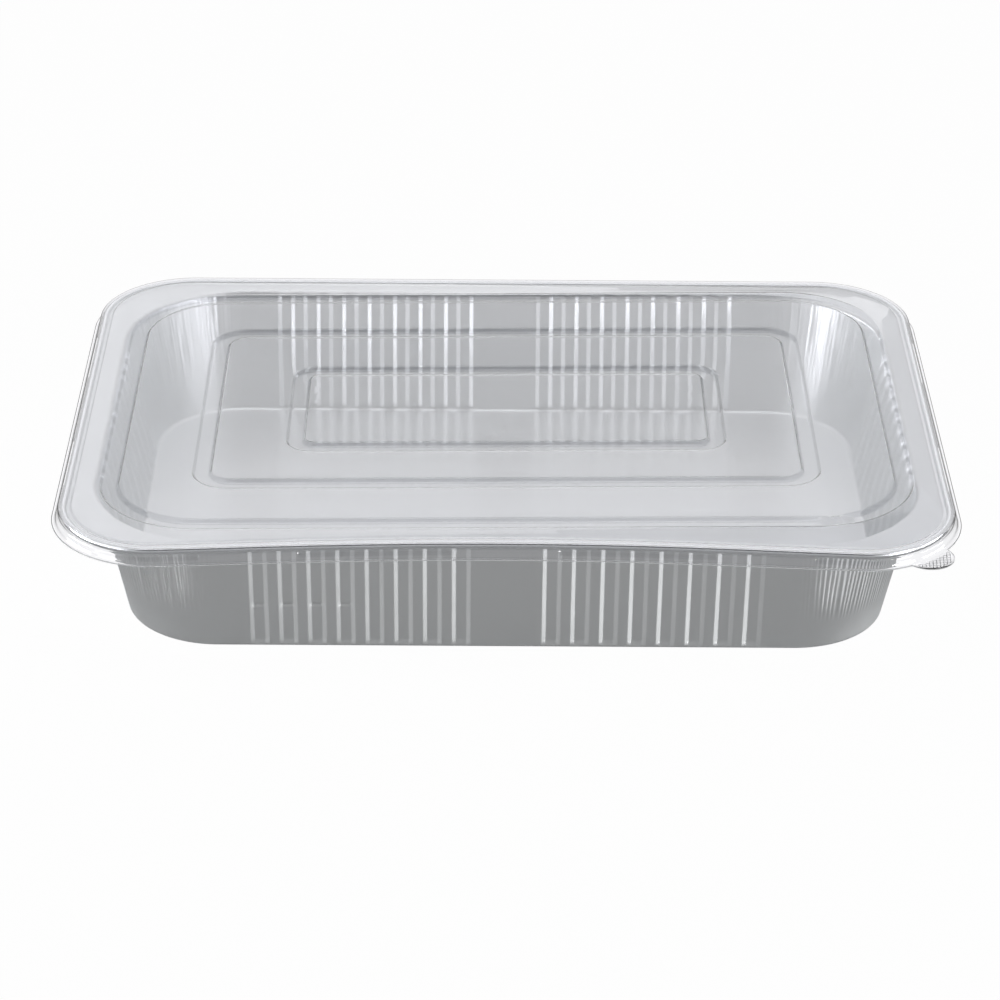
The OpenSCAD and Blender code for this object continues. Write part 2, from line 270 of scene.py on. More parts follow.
# %% Rings of the tray
Ring = namedtuple("Ring", "line height fluted gathered curled")
BASE_STEPS, TOP_STEPS, FLANGE_STEPS = 5, 4, 4
ROLL_START, ROLL_STEP, ROLL_STEPS = 144.0, 24.0, 15
ROLL_TUCK_FROM = 234.0
CURL_SHINE_FROM = 60.0
WALL_HEIGHTS = (1.42, 2.4, 3.6, 6, 9, 12, 15, 17.5, 18.4, 19, 19.6, 20.5,
                24, 27, 30, 33, 36, 39, 42, 44.5, 46.5, 48.3)
FLUTE_FOOT, FLUTE_FULL, FLUTE_END, FLUTE_GONE = 0.6, 2.6, 45.2, 50.2
GATHER_FOOT, GATHER_FULL, FLANGE_GATHER = 11.0, 30.0, 0.3


def eased(value, start, end):
    """Rises smoothly from 0 at start to 1 at end."""
    share = min(1.0, max(0.0, (value - start) / (end - start)))
    return share * share * (3 - 2 * share)


def tray_ring(line, height):
    fluted = eased(height, FLUTE_FOOT, FLUTE_FULL) * (1 - eased(height, FLUTE_END, FLUTE_GONE))
    return Ring(line, height, fluted, eased(height, GATHER_FOOT, GATHER_FULL), 0.0)


def tray_rings():
    """All rings on the sheet's upper face, from the floor's edge to the end of the roll."""
    rings = []
    middle_in = -BASE_BEND * math.tan((math.pi / 2 - lean) / 2)
    for i in range(BASE_STEPS):
        turn = -math.pi / 2 + (math.pi / 2 - lean) * i / BASE_STEPS
        reach = BASE_BEND - FOIL
        rings.append(tray_ring(base_line + middle_in + reach * math.cos(turn),
                               BASE_BEND + reach * math.sin(turn)))
    for z in WALL_HEIGHTS:
        line = base_line + (open_line - base_line) * z / FLANGE_Z
        rings.append(tray_ring(line - FOIL * math.cos(lean), z + FOIL * math.sin(lean)))
    middle_z = FLANGE_Z - FOIL - TOP_BEND
    touch_z = middle_z + TOP_BEND * math.sin(lean)
    middle_out = touch_z * math.tan(lean) + TOP_BEND * math.cos(lean) - WALL_RUN
    for i in range(1, TOP_STEPS + 1):
        turn = math.pi - lean - (math.pi / 2 - lean) * i / TOP_STEPS
        reach = TOP_BEND + FOIL
        rings.append(tray_ring(open_line + middle_out + reach * math.cos(turn),
                               middle_z + reach * math.sin(turn)))
    flange_start, flange_end = rings[-1].line, roll_line - ROLL_RADIUS - FOIL
    for i in range(1, FLANGE_STEPS + 1):
        line = flange_start + (flange_end - flange_start) * i / FLANGE_STEPS
        rings.append(Ring(line, FLANGE_Z, 0.0, FLANGE_GATHER * (1 - i / FLANGE_STEPS), 0.0))
    for i in range(ROLL_STEPS + 1):
        turned_by = i * ROLL_STEP
        tucked = max(0.0, turned_by - ROLL_TUCK_FROM) / (360.0 - ROLL_TUCK_FROM)
        reach = ROLL_RADIUS - ROLL_TUCK * tucked
        turn = math.radians(ROLL_START - turned_by)
        line, height = roll_line + reach * math.cos(turn), FLANGE_Z + reach * math.sin(turn)
        rings.append(Ring(line, height, 0.0, 0.0, eased(turned_by, 0, CURL_SHINE_FROM)))
    return rings


rings = tray_rings()
print(len(rings), "rings, up to z", round(max(r.height for r in rings), 2))

# %% [markdown]
# ## Laying a plain sheet
# The sheet is a net of four-sided faces, closed round the container. Inside its first ring lies the
# floor, or the middle of the lid's panel. A Delaunay triangulation fills it with even triangles between the
# ring and a grid of points. What each point takes of the pattern is stored on it as an attribute.

# %% Helper that lays a sheet
FILL_STEP = 9.0
FILL_MARGIN, FILL_CORNER = 0.6, 0.3
MERGE_NEARER = 1e-4


def fill_points(ring):
    """A grid of points inside a ring, a little way from it."""
    half_l, half_w = np.abs(ring).max(axis=0) - FILL_STEP * FILL_MARGIN
    corner = half_w * FILL_CORNER
    grid = []
    for x in np.arange(-half_l, half_l + 1, 2 * half_l / round(2 * half_l / FILL_STEP)):
        for y in np.arange(-half_w, half_w + 1, 2 * half_w / round(2 * half_w / FILL_STEP)):
            past = np.maximum(np.abs([x, y]) - (half_l - corner, half_w - corner), 0)
            if np.hypot(*past) <= corner:
                grid.append((x, y))
    return grid


def lay_sheet(name, columns, rings, point_values):
    """A sheet whose points carry the values in point_values.

    Each of them is a number for each ring, times one for each column, and one for the middle.
    """
    n = len(columns)
    net = [np.column_stack([places(columns, r.line), np.full(n, r.height)]) for r in rings]
    inner = fill_points(net[0][:, :2])
    flat = [Vector(p) for p in net[0][:, :2].tolist() + inner]
    loop = [(i, (i + 1) % n) for i in range(n)]
    _, _, fill, came_from, _, _ = delaunay_2d_cdt(flat, loop, [], 1, MERGE_NEARER)
    at = {i: source[0] for i, source in enumerate(came_from)}
    fill = [[at[v] for v in face] for face in fill]
    count = n * len(rings)
    fill = [[v if v < n else v - n + count for v in face] for face in fill]
    faces = [(r * n + c, (r + 1) * n + c, (r + 1) * n + (c + 1) % n, r * n + (c + 1) % n)
             for r in range(len(rings) - 1) for c in range(n)]
    points = np.vstack(net + [np.column_stack([inner, np.full(len(inner), rings[0].height)])])
    mesh = bpy.data.meshes.new(name)
    mesh.from_pydata(points.tolist(), [], faces + fill)
    steps = [math.hypot(b.line[0] - a.line[0], b.height - a.height) for a, b in zip(rings, rings[1:])]
    run = np.concatenate([[0.0], np.cumsum(steps)])
    unrolled = [net[0][:, :2] + np.array([c.facing for c in columns]) * s for s in run]
    unrolled = np.vstack(unrolled + [np.array(inner)]) * MM
    corners = np.zeros(len(mesh.loops), np.int32)
    mesh.loops.foreach_get("vertex_index", corners)
    mesh.uv_layers.new(name="sheet").data.foreach_set("uv", unrolled[corners].astype(np.float32).ravel())
    facing = np.column_stack([[c.facing for c in columns], np.zeros(n)])
    facing = np.vstack([np.tile(facing, (len(rings), 1)), np.zeros((len(inner), 3))])
    attribute = mesh.attributes.new("facing", "FLOAT_VECTOR", "POINT")
    attribute.data.foreach_set("vector", facing.astype(np.float32).ravel())
    for key, (by_ring, by_column, in_the_middle) in point_values.items():
        values = np.outer(by_ring, by_column).ravel()
        values = np.concatenate([values, np.full(len(inner), in_the_middle)])
        attribute = mesh.attributes.new(key, "FLOAT", "POINT")
        attribute.data.foreach_set("value", values.astype(np.float32))
    mesh.update()
    print(name, "plain sheet:", len(points), "points,", len(faces) + len(fill), "faces")
    return mesh


# %% [markdown]
# ## The plain tray
# Every point of the sheet learns how far it lies from the nearest flute, whether it stands in a corner, and
# which way it faces. A tree could work this out from positions alone, but it follows from how the net was
# laid, so storing it here is shorter. Four flutes at the front left also carry a small fold across them.

# %% Lay the plain tray
FOLDED, FOLD_Z, FOLD_HALF = 4, 19.0, 0.7
CORNER_FADE = 25


def nearest_flute(column, middles):
    return min(abs(column.along - m) for m in middles)


def column_side(column):
    """Which side a column faces, from 0 for the right end."""
    return round(math.degrees(math.atan2(column.facing[1], column.facing[0])) / 90) % 4


from_flute = np.array([
    nearest_flute(c, flute_middles[column_side(c) % 2]) if c.corner < 0 else NO_FLUTE
    for c in tray_columns])
turns = np.array([math.atan2(c.facing[1], c.facing[0]) for c in tray_columns])
in_corner = np.array([
    eased(c.corner, 0, CORNER_FADE) * (1 - eased(c.corner, 90 - CORNER_FADE, 90)) if c.corner >= 0 else 0.0
    for c in tray_columns])
row_ones, column_ones = np.ones(len(rings)), np.ones(len(tray_columns))
folded_flutes = flute_middles[1][:FOLDED]
near_fold = np.array([c.corner < 0 and column_side(c) == 3 and nearest_flute(c, folded_flutes) < flank_inner
                      for c in tray_columns], float)
fold_rows = np.array([max(0.0, 1 - abs(r.height - FOLD_Z) / FOLD_HALF) for r in rings])
tray_values = {
    "from_flute": (row_ones, from_flute, NO_FLUTE),
    "fluted": ([r.fluted for r in rings], column_ones, 0.0),
    "gathered": ([r.gathered for r in rings], in_corner, 0.0),
    "turn": (row_ones, turns, 0.0),
    "folded": (fold_rows, near_fold, 0.0),
    "curled": ([r.curled for r in rings], column_ones, 0.0),
    "bowed": ([min(1.0, r.height / FLANGE_Z) for r in rings], column_ones, 0.0),
}
tray_mesh = lay_sheet("tray_plain", tray_columns, rings, tray_values)

# %% [markdown]
# ## The press
# The press is a Geometry Nodes tree that moves the points of the plain sheet. A small group of its own bows
# the front in, because the tray's rim and the lid's skirt have to bow alike. Each size is a named input, so
# the same tree presses a deeper flute or a finer gather when a number changes.

# %% Group that bows the front side
def new_tree(name, sizes, others=None):
    """An empty tree with a geometry input and output, a number for each size, and inputs of other kinds."""
    tree = bpy.data.node_groups.new(name, "GeometryNodeTree")
    tree.interface.new_socket("Geometry", in_out="INPUT", socket_type="NodeSocketGeometry")
    tree.interface.new_socket("Geometry", in_out="OUTPUT", socket_type="NodeSocketGeometry")
    for size, value in sizes.items():
        socket = tree.interface.new_socket(size, in_out="INPUT", socket_type="NodeSocketFloat")
        socket.default_value = value
    for other, kind in (others or {}).items():
        tree.interface.new_socket(other, in_out="INPUT", socket_type="NodeSocket" + kind)
    return tree


tree = new_tree("bow_the_front", {"Bow in": BOW_IN, "Bow up": BOW_UP, "Half length": BOW_HALF})
given = add(tree, "NodeGroupInput").outputs
place = add(tree, "GeometryNodeInputPosition").outputs["Position"]
axes = add(tree, "ShaderNodeSeparateXYZ", {"Vector": place}).outputs
bowed = add(tree, "GeometryNodeInputNamedAttribute", {"Name": "bowed"}).outputs["Attribute"]
share_x = add(tree, "ShaderNodeMath", {0: axes["X"], 1: given["Half length"]}, operation="DIVIDE")
squared = add(tree, "ShaderNodeMath", {0: share_x, 1: share_x}, operation="MULTIPLY")
left_over = add(tree, "ShaderNodeMath", {0: 1.0, 1: squared}, operation="SUBTRACT", use_clamp=True)
bow = add(tree, "ShaderNodeMath", {0: left_over, 1: BOW_POWER}, operation="POWER")
front = add(tree, "ShaderNodeMath", {0: axes["Y"], 1: 0.0}, operation="LESS_THAN")
for share in (front, bowed):
    bow = add(tree, "ShaderNodeMath", {0: bow, 1: share}, operation="MULTIPLY")
full = add(tree, "ShaderNodeCombineXYZ", {"Y": given["Bow in"], "Z": given["Bow up"]})
offset = add(tree, "ShaderNodeVectorMath", {0: full, "Scale": bow}, operation="SCALE")
moved = add(tree, "GeometryNodeSetPosition", {"Geometry": given["Geometry"], "Offset": offset})
add(tree, "NodeGroupOutput", {"Geometry": moved})
bow_tree = tree
print("bow group:", len(tree.nodes), "nodes")


def open_press(tree, names):
    """What both presses start from: the tree's inputs, the stored values, and where each point is."""
    given = add(tree, "NodeGroupInput").outputs
    stored = {name: add(tree, "GeometryNodeInputNamedAttribute", {"Name": name}).outputs["Attribute"]
              for name in names}
    facing = add(tree, "GeometryNodeInputNamedAttribute", {"Name": "facing"}, data_type="FLOAT_VECTOR")
    place = add(tree, "GeometryNodeInputPosition").outputs["Position"]
    axes = add(tree, "ShaderNodeSeparateXYZ", {"Vector": place}).outputs
    return given, stored, facing.outputs["Attribute"], place, axes


def close_press(tree, geometry, material):
    """The nodes that end both presses: the bow, smooth shading, real geometry and its material."""
    bent = add(tree, "GeometryNodeGroup", {"Geometry": geometry}, node_tree=bow_tree)
    smooth = add(tree, "GeometryNodeSetShadeSmooth", {"Geometry": bent})
    real = add(tree, "GeometryNodeRealizeInstances", {"Geometry": smooth})
    finished = add(tree, "GeometryNodeSetMaterial", {"Geometry": real, "Material": material})
    add(tree, "NodeGroupOutput", {"Geometry": finished})


# %% [markdown]
# ## Pressing the tray
# The die pushes the flutes inwards, and in the corners, where the foil has too little room, it gathers in
# fine creases. By hand this would be thousands of edits. The pattern follows a rule, so a Geometry Nodes
# tree moves each point by its stored values, and every size of the pattern is one input of the tree.

# %% Tree that presses the tray
GATHER_DEPTH, GATHER_PITCH, GATHER_STRETCH = 0.32, 3.4, 22.0
FOLD_DEPTH = 0.7
DENT_PLACE, DENT_DEPTH, DENT_REACH = (-158.0, -8.0, 50.0), 0.55, 11.0

tree = new_tree("press_the_tray", {
    "Flute width": FLUTE_WIDTH, "Flute slant": FLUTE_SLANT, "Flute depth": FLUTE_DEPTH,
    "Gather depth": GATHER_DEPTH, "Gather pitch": GATHER_PITCH, "Gather length": GATHER_STRETCH,
    "Corner radius": OPENING_CORNER, "Fold depth": FOLD_DEPTH,
    "Dent depth": DENT_DEPTH, "Dent reach": DENT_REACH, "Seed": 3.0},
    {"Dent place": "Vector", "Foil": "Material"})
given, stored, facing, place, axes = open_press(
    tree, ("from_flute", "fluted", "gathered", "turn", "folded"))

flank = []
for way in ("SUBTRACT", "ADD"):
    width = add(tree, "ShaderNodeMath", {0: given["Flute width"], 1: given["Flute slant"]}, operation=way)
    flank.append(add(tree, "ShaderNodeMath", {0: width, 1: 0.5}, operation="MULTIPLY"))
in_flute = add(tree, "ShaderNodeMapRange", {
    "Value": stored["from_flute"], "From Min": flank[0], "From Max": flank[1], "To Min": 1.0, "To Max": 0.0})
in_flute = add(tree, "ShaderNodeMath", {0: in_flute, 1: stored["fluted"]}, operation="MULTIPLY")

arc = add(tree, "ShaderNodeMath", {0: stored["turn"], 1: given["Corner radius"]}, operation="MULTIPLY")
arc = add(tree, "ShaderNodeMath", {0: arc, 1: given["Gather pitch"]}, operation="DIVIDE")
height = add(tree, "ShaderNodeMath", {0: axes["Z"], 1: given["Gather length"]}, operation="DIVIDE")
crease_place = add(tree, "ShaderNodeCombineXYZ", {"X": arc, "Y": height})
creases = add(tree, "ShaderNodeTexNoise", {
    "Vector": crease_place, "W": given["Seed"], "Scale": 1.0, "Detail": 1.0, "Roughness": 0.5},
    noise_dimensions="4D")
creases = add(tree, "ShaderNodeMapRange", {
    "Value": creases, "From Min": 0.3, "From Max": 0.7, "To Min": -0.5, "To Max": 0.5})
gather = add(tree, "ShaderNodeMath", {0: creases, 1: stored["gathered"]}, operation="MULTIPLY")
push = 0.0
for share, depth in ((in_flute, "Flute depth"), (gather, "Gather depth"), (stored["folded"], "Fold depth")):
    push = add(tree, "ShaderNodeMath", {0: share, 1: given[depth], 2: push}, operation="MULTIPLY_ADD")
back_way = add(tree, "ShaderNodeMath", {0: push, 1: -1.0}, operation="MULTIPLY")
offset = add(tree, "ShaderNodeVectorMath", {0: facing, "Scale": back_way}, operation="SCALE")

away = add(tree, "ShaderNodeVectorMath", {0: place, 1: given["Dent place"]}, operation="DISTANCE")
dent = add(tree, "ShaderNodeMapRange", {
    "Value": away.outputs["Value"], "From Max": given["Dent reach"],
    "To Min": given["Dent depth"], "To Max": 0.0},
    interpolation_type="SMOOTHSTEP")
sink = add(tree, "ShaderNodeMath", {0: dent, 1: -1.0}, operation="MULTIPLY")
down = add(tree, "ShaderNodeCombineXYZ", {"Z": sink})
offset = add(tree, "ShaderNodeVectorMath", {0: offset, 1: down}, operation="ADD")

pressed = add(tree, "GeometryNodeSetPosition", {"Geometry": given["Geometry"], "Offset": offset})
close_press(tree, pressed, given["Foil"])
tray_press = tree
print("tray press:", len(tree.nodes), "nodes")

# %% [markdown]
# ## From a plain sheet to a finished piece
# A modifier runs the press, a second one gives the sheet its thickness, and a third one keeps the shading
# of the flat faces flat beside the narrow rounds. The result is copied to a plain mesh in metres.

# %% Helper that presses a sheet and gives it thickness
def pressed_blank(name, plain, tree, settings):
    """An object with a tree on it. settings gives the inputs that have no value yet."""
    blank = placed(name + "_blank", plain)
    press = blank.modifiers.new("press", "NODES")
    press.node_group = tree
    sockets = {item.name: item.identifier for item in tree.interface.items_tree if item.in_out == "INPUT"}
    for size, value in settings.items():
        press[sockets[size]] = value
    return blank


def settled(blank, name, into_place):
    """What a blank's modifiers make, as an object with a plain mesh. The blank goes."""
    bpy.context.view_layer.update()
    graph = bpy.context.evaluated_depsgraph_get()
    mesh = bpy.data.meshes.new_from_object(blank.evaluated_get(graph), depsgraph=graph)
    bpy.data.objects.remove(blank)
    mesh.transform(into_place)
    mesh.name = name
    mesh.calc_loop_triangles()
    piece = placed(name, mesh)
    size = [round(v / MM, 2) for v in piece.dimensions]
    print(name, len(mesh.loop_triangles), "triangles, size in mm", size)
    return piece


def press_sheet(name, plain, tree, thickness, settings):
    """The finished piece: a plain sheet pressed by its tree and given its thickness."""
    blank = pressed_blank(name, plain, tree, settings)
    wall = blank.modifiers.new("thickness", "SOLIDIFY")
    wall.thickness, wall.offset = thickness, -1.0
    wall.material_offset_rim = 1
    weighted = blank.modifiers.new("even shading", "WEIGHTED_NORMAL")
    weighted.keep_sharp = True
    return settled(blank, name, Matrix.Scale(MM, 4))


# %% [markdown]
# ## Aluminium foil
# Container foil is cold-rolled aluminium, so it is a satin metal: it mirrors its surroundings as soft streaks
# and never as a sharp picture. The rolls leave fine lines along the sheet, which spread each highlight across
# them, so the shader is anisotropic in the sheet's own directions. Handling leaves shallow waves and bands,
# and the corners crease where the foil gathers. These are bumps, because they are finer than the mesh. The
# rolled edge is rubbed by the curling die, which leaves it glossier and nearly without a direction.

# %% Foil material
# Real rolling lines are hundredths of a millimetre apart, too fine to show, so they are drawn coarser.
LINE_LENGTH, LINE_WIDTH = 83.3, 0.667
WAVE_WIDTH = 18.18
BAND_LENGTH, BAND_WIDTH = 166.7, 26.3
# Creases stand close together at the corner's top and wander a little on their way down.
CREASE_PITCH, CREASE_WANDER = 2.05, 143.0
WAVE_TEXTURE_PERIOD = math.tau / 20
CREASED_INSIDE = 0.08
# Each pair is for the plain sheet and for the rolled edge.
ROUGHNESS, STREAK = (0.36, 0.22), (0.88, 0.3)

foil, tree = new_material("aluminium_foil")
where = add(tree, "ShaderNodeTexCoord").outputs["Object"]
sheet = add(tree, "ShaderNodeUVMap", uv_map="sheet").outputs["UV"]
stretched = []
for length, width, detail in ((LINE_LENGTH, LINE_WIDTH, 2.0), (BAND_LENGTH, BAND_WIDTH, 1.0)):
    on_sheet = add(tree, "ShaderNodeMapping", {
        "Vector": sheet, "Scale": (1 / (length * MM), 1 / (width * MM), 1.0)})
    stretched.append(add(tree, "ShaderNodeTexNoise", {"Vector": on_sheet, "Scale": 1.0, "Detail": detail}))
roll_lines, bands = stretched
waves = add(tree, "ShaderNodeTexNoise", {
    "Vector": where, "Scale": 1 / (WAVE_WIDTH * MM), "Detail": 2.0, "Roughness": 0.45})
turn, gathered, curled = (add(tree, "ShaderNodeAttribute", attribute_name=name).outputs["Fac"]
                          for name in ("turn", "gathered", "curled"))
height = add(tree, "ShaderNodeSeparateXYZ", {"Vector": where}).outputs["Z"]
crease_place = add(tree, "ShaderNodeCombineXYZ", {"X": turn, "Y": height})
creases_per_turn = OPENING_CORNER / CREASE_PITCH * WAVE_TEXTURE_PERIOD
crease_place = add(tree, "ShaderNodeMapping", {
    "Vector": crease_place, "Scale": (creases_per_turn, 1 / (CREASE_WANDER * MM), 1.0)})
creases = add(tree, "ShaderNodeTexWave", {
    "Vector": crease_place, "Scale": 1.0, "Distortion": 5.0, "Detail": 1.0, "Detail Scale": 1.5})
side_seen = add(tree, "ShaderNodeSeparateXYZ", {"Vector": add(tree, "ShaderNodeTexCoord").outputs["Normal"]})
outside = add(tree, "ShaderNodeMapRange", {
    "Value": side_seen.outputs["Z"], "From Min": 0.05, "From Max": -0.05,
    "To Min": CREASED_INSIDE, "To Max": 1.0})
creases = add(tree, "ShaderNodeMath", {0: creases.outputs["Fac"], 1: gathered}, operation="MULTIPLY")
creases = add(tree, "ShaderNodeMath", {0: creases, 1: outside}, operation="MULTIPLY")
# Each bump lies on the one before: its pattern, its strength and its height in mm.
bumps = ((bands, 0.25, 1.0), (waves, 0.25, 1.0), (roll_lines, 0.15, 0.1), (creases, 1.0, 0.45))
bump = None
for pattern, strength, high in bumps:
    below = {"Normal": bump} if bump else {}
    bump = add(tree, "ShaderNodeBump", {
        "Height": pattern, "Strength": strength, "Distance": high * MM, **below})
gloss, spread = (add(tree, "ShaderNodeMapRange", {"Value": curled, "To Min": plain, "To Max": edge})
                 for plain, edge in (ROUGHNESS, STREAK))
rolled = add(tree, "ShaderNodeTangent", direction_type="UV_MAP", uv_map="sheet")
metal = add(tree, "ShaderNodeBsdfPrincipled", {
    "Base Color": hex_colour("F4F6F7"), "Metallic": 1.0, "Roughness": gloss,
    "Anisotropic": spread, "Anisotropic Rotation": 0.25,
    "Tangent": rolled, "Normal": bump})
add(tree, "ShaderNodeOutputMaterial", {"Surface": metal})
print("foil:", len(tree.nodes), "nodes")

# %% [markdown]
# ## The pressed tray
# The tree, the thickness and the smooth normals turn the plain sheet into one plain mesh. It takes the place
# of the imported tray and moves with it.

# %% Press the tray
tray = press_sheet("foil_tray", tray_mesh, tray_press, FOIL, {"Foil": foil, "Dent place": DENT_PLACE})
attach(tray, "tray")
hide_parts("tray")

# %% [markdown]
# ## Sizes of the lid
# The lid is a flat panel with three recessed grooves, one inside the other. Round the panel a channel seats
# on the rolled rim, and a skirt hangs down to a flat lip. The whole panel is a little warped: it rises to
# the right and sags in the middle.

# %% Sizes of the lid
FILM = 0.3
PANEL_UP, PANEL_SAG, MIDDLE_SAG, PANEL_TILT = 2.9, 1.8, 0.25, 1.19
GROOVE_END, GROOVE_SIDE, STEP_LENGTH, STEP_WIDTH = 16.8, 20.2, 34.0, 33.0
GROOVE_CORNERS = (35.0, 11.0, 7.0)
GROOVE_WIDTH, GROOVE_SLANT, GROOVE_DEPTH = 7.4, 1.2, 1.6
NO_GROOVE = 50.0
LID_GAP = 0.25
LIP_OUT, LIP_WIDTH, LIP_DROP = 3.2, 1.2, 3.9
SNAP_DEPTH, SNAP_FROM, SNAP_TO, SNAP_END_HALF, SNAP_CORNER = 0.6, 19.0, 76.0, 28.0, 17.0
TAB_RADIUS, TAB_OUT, TAB_TURN = 9.4, 7.6, 41.0

groove_lines = [outline(rim_half[0] - GROOVE_END - i * STEP_LENGTH,
                        rim_half[1] - GROOVE_SIDE - i * STEP_WIDTH, corner)
                for i, corner in enumerate(GROOVE_CORNERS)]
lip_reach = ROLL_RADIUS + LIP_OUT
skirt_in = ROLL_RADIUS + LID_GAP + FILM
channel_z = FLANGE_Z + ROLL_RADIUS + LID_GAP / 2 + FILM
lip_z = FLANGE_Z - LIP_DROP
print("lip half length", round(roll_line[0] + lip_reach, 2), "channel top at", round(channel_z, 2))

# %% [markdown]
# ## The columns of the lid
# The skirt is pushed in over a few stretches, as beads level with the roll's underside. Columns stand close
# together where a bead starts or ends, and across the pull tab, whose round edge needs many of them.

# %% Columns of the lid
LID_CORNER_STEPS = 36
LID_SIDE_STEP = 7.0
BEAD_RAMP = 0.5
TAB_STEPS = 30
BEAD_APART, TAB_APART = 1.5, 0.5

lip_corner = roll_line[2] + lip_reach
tab_middle = lip_corner + TAB_OUT - TAB_RADIUS
tab_span = math.degrees(math.acos(
    (lip_corner**2 + tab_middle**2 - TAB_RADIUS**2) / (2 * lip_corner * tab_middle)))
core_half = roll_line[:2] - roll_line[2]
bead_edges = ((SNAP_END_HALF, core_half[1] - SNAP_CORNER), (SNAP_FROM, SNAP_TO, core_half[0] - SNAP_CORNER))


def bead_share(side, along):
    """1 on a snap bead and 0 beside it. The corner bead runs round the corner."""
    edges = bead_edges[side % 2]
    rise = [eased(abs(along), e - BEAD_RAMP, e + BEAD_RAMP) for e in edges]
    return 1 - rise[0] + rise[1] if side % 2 == 0 else rise[0] - rise[1] + rise[2]


def lid_side(side):
    half = core_half[1 - side % 2]
    alongs = list(np.linspace(-half, half, 2 * round(half / LID_SIDE_STEP) + 1)[1:-1])
    extra = [way * (e + step) for e in bead_edges[side % 2] for way in (-1, 1)
             for step in (-BEAD_RAMP, -BEAD_RAMP / 3, BEAD_RAMP / 3, BEAD_RAMP)]
    alongs = [a for a in alongs if min(abs(a - e) for e in extra) > BEAD_APART] + extra
    angles = list(np.linspace(0, 90, LID_CORNER_STEPS + 1))
    if side == 3:
        tab_angles = np.linspace(TAB_TURN - tab_span, TAB_TURN + tab_span, TAB_STEPS + 1)
        angles = [a for a in angles if abs(a - TAB_TURN) > tab_span + TAB_APART] + list(tab_angles)
    return ([straight_column(side, a / half, a) for a in sorted(alongs)]
            + [corner_column(side, a) for a in sorted(angles)])


lid_columns = [column for side in range(4) for column in lid_side(side)]
print(len(lid_columns), "columns; the tab spans", round(2 * tab_span, 1), "degrees")

# %% [markdown]
# ## Rings of the lid
# The skirt's section is drawn as a few corner points, and one helper rounds them. Near each edge of a groove
# lie two rings, so that the edge is softly rounded, as drawn plastic always is.

# %% Rings of the lid
LidRing = namedtuple("LidRing", "line height from_groove beaded bowed tilted tab")
GROOVE_ROUND, SKIRT_ROUND = 0.3, 0.55
LAND_WIDTH, LAND_RISE = 2.1, 0.15
CREASE_PLACE, CREASE_DEPTH = 1.1, 0.6
LIP_BEND = 0.3
ROUNDED_SHARE = 0.45
GROOVES_APART, SKIRT_APART = 3, 2


def rounded(points, radius, steps=3):
    """A run of points with each inner corner replaced by a short arc, as a quadratic curve."""
    points = [np.array(p, float) for p in points]
    out = [points[0]]
    for before, here, after in zip(points, points[1:], points[2:]):
        back, on = before - here, after - here
        r = min(radius, np.linalg.norm(back) * ROUNDED_SHARE, np.linalg.norm(on) * ROUNDED_SHARE)
        a = here + back / np.linalg.norm(back) * r
        b = here + on / np.linalg.norm(on) * r
        for i in range(steps + 1):
            t = i / steps
            out.append(a * (1 - t) ** 2 + here * 2 * t * (1 - t) + b * t * t)
    return out + [points[-1]]


def groove_rings(i):
    """Rings across one groove, from its inner side outwards."""
    half, foot = GROOVE_WIDTH / 2, GROOVE_WIDTH / 2 - GROOVE_SLANT
    edges = [-half, -foot, foot, half]
    outs = [e + s for e in edges for s in (-GROOVE_ROUND, GROOVE_ROUND)]
    top = FLANGE_Z + PANEL_UP - (0.0, MIDDLE_SAG * PANEL_SAG, PANEL_SAG)[i]
    return [LidRing(groove_lines[i] + e, top, abs(e), 0.0, 0.0, 1.0, 0.0) for e in outs]


def rings_between(a, b, count):
    """Rings that lead evenly from one ring to another, without the pattern of either."""
    made = []
    for i in range(1, count + 1):
        s = i / (count + 1)
        blend = [u + (v - u) * s for u, v in zip(a, b)]
        made.append(LidRing(*blend)._replace(from_groove=NO_GROOVE))
    return made


def lid_rings():
    skirt = rounded([
        (-ROLL_RADIUS - LAND_WIDTH, channel_z + LAND_RISE, 0, 0),
        (-ROLL_RADIUS - CREASE_PLACE, channel_z - CREASE_DEPTH, 0, 0),
        (-ROLL_RADIUS, channel_z, 0, 0),
        (skirt_in, channel_z, 0, 0),
        (skirt_in + SNAP_DEPTH / 2, FLANGE_Z, 0, 0),
        (skirt_in + SNAP_DEPTH, FLANGE_Z - ROLL_RADIUS, 1, 0),
        (lip_reach - LIP_WIDTH - LIP_BEND, (FLANGE_Z - ROLL_RADIUS + lip_z) / 2, 0, 0),
        (lip_reach - LIP_WIDTH, lip_z, 0, 0),
        (lip_reach, lip_z, 0, 1)], SKIRT_ROUND)
    lip_steps = [(lip_reach - LIP_WIDTH * (1 - s), lip_z, 0, s) for s in (0.4, 0.7)]
    skirt = skirt[:-1] + lip_steps + skirt[-1:]
    skirt = [LidRing(roll_line + p[0], p[1], NO_GROOVE, p[2], 1.0, 0.0, p[3]) for p in skirt]
    inner, middle, outer = groove_rings(2), groove_rings(1), groove_rings(0)
    return (inner + rings_between(inner[-1], middle[0], GROOVES_APART)
            + middle + rings_between(middle[-1], outer[0], GROOVES_APART)
            + outer + rings_between(outer[-1], skirt[0], SKIRT_APART) + skirt)


lid_ring_list = lid_rings()
print(len(lid_ring_list), "rings")

# %% [markdown]
# ## The plain lid
# The tab is no piece of its own: it is the lip, drawn out to a disc at the front right corner. So each column
# is given its reach beyond the lip, and the outermost rings stretch by it.

